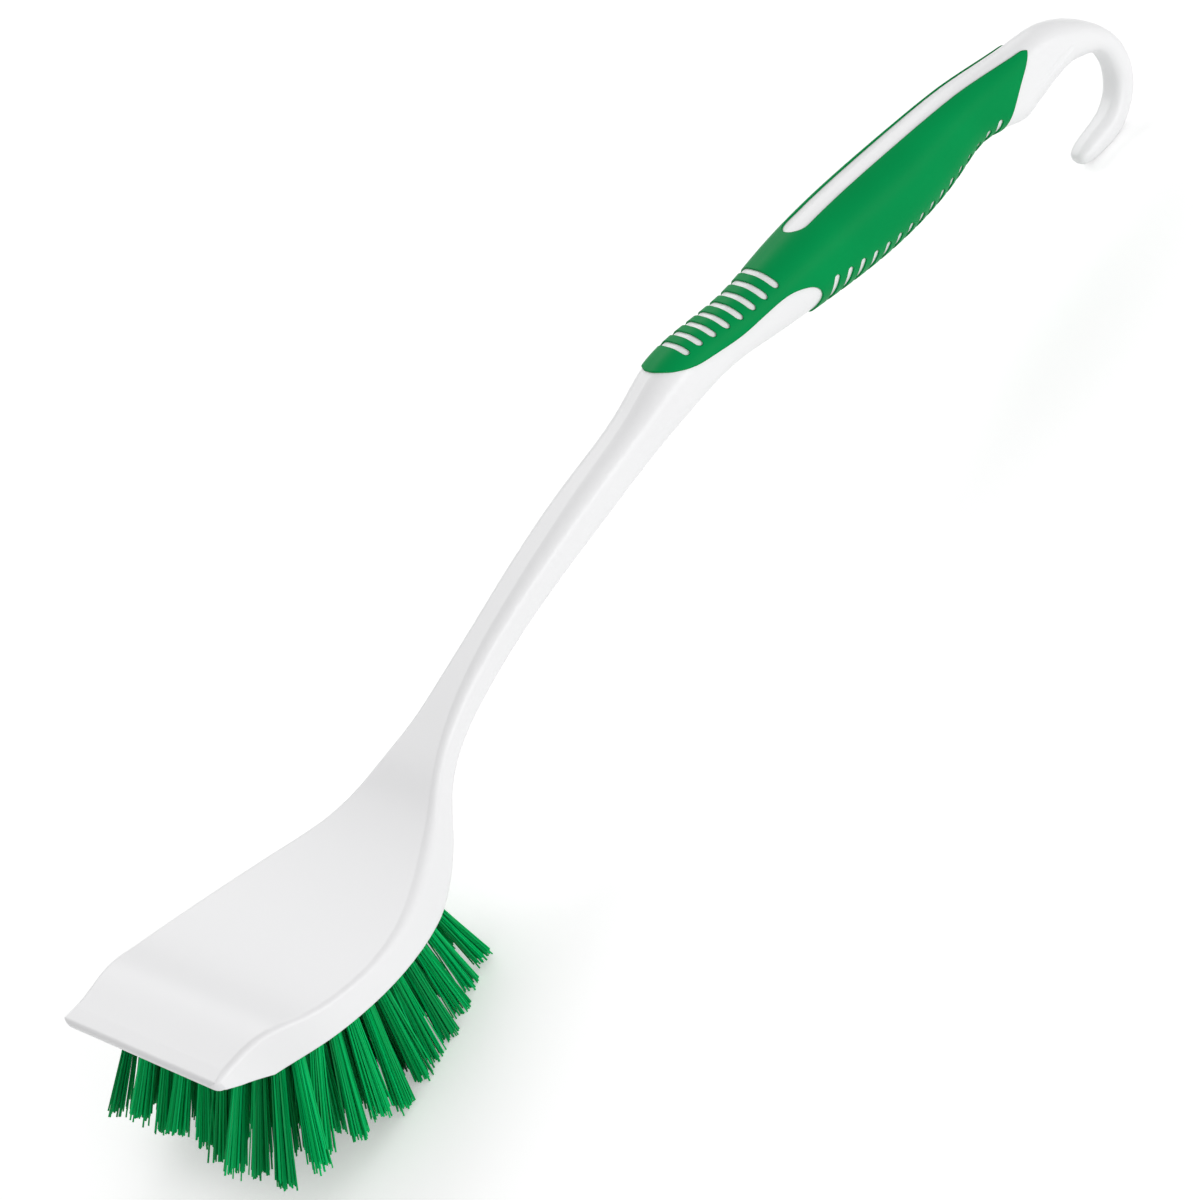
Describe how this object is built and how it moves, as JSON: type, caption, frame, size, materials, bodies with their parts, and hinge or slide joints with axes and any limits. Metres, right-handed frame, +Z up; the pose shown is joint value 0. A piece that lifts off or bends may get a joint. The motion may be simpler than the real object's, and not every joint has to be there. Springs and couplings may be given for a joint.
{
  "type": "dish brush",
  "caption": "Dish brush with a flat scraper lip, rows of anchored tufts, a soft moulded grip with finger slits, and a hook at the end of the handle.",
  "frame": {"origin": "middle of the brush's length and width, on the table that it lies on", "axes": "+X from the scraper lip to the hook, +Y across the brush, +Z up from the table; the tufts point down"},
  "size_m": [0.3056, 0.068, 0.0499],
  "materials": {
    "white_body": "smooth moulded polypropylene",
    "green_grip": "satin thermoplastic rubber",
    "green_bristles": "drawn polyester strands",
    "anchor_metal": "stamped stainless strip"
  },
  "bodies": {
    "root": {"brush_body": "white_body", "grip": "green_grip", "tuft_anchors": "anchor_metal", "bristle_row_01": "green_bristles", "bristle_row_02": "green_bristles", "bristle_row_03": "green_bristles", "bristle_row_04": "green_bristles", "bristle_row_05": "green_bristles", "bristle_row_06": "green_bristles", "bristle_row_07": "green_bristles", "bristle_row_08": "green_bristles", "bristle_row_09": "green_bristles", "bristle_row_10": "green_bristles", "bristle_row_11": "green_bristles", "bristle_row_12": "green_bristles"}
  },
  "joints": []
}
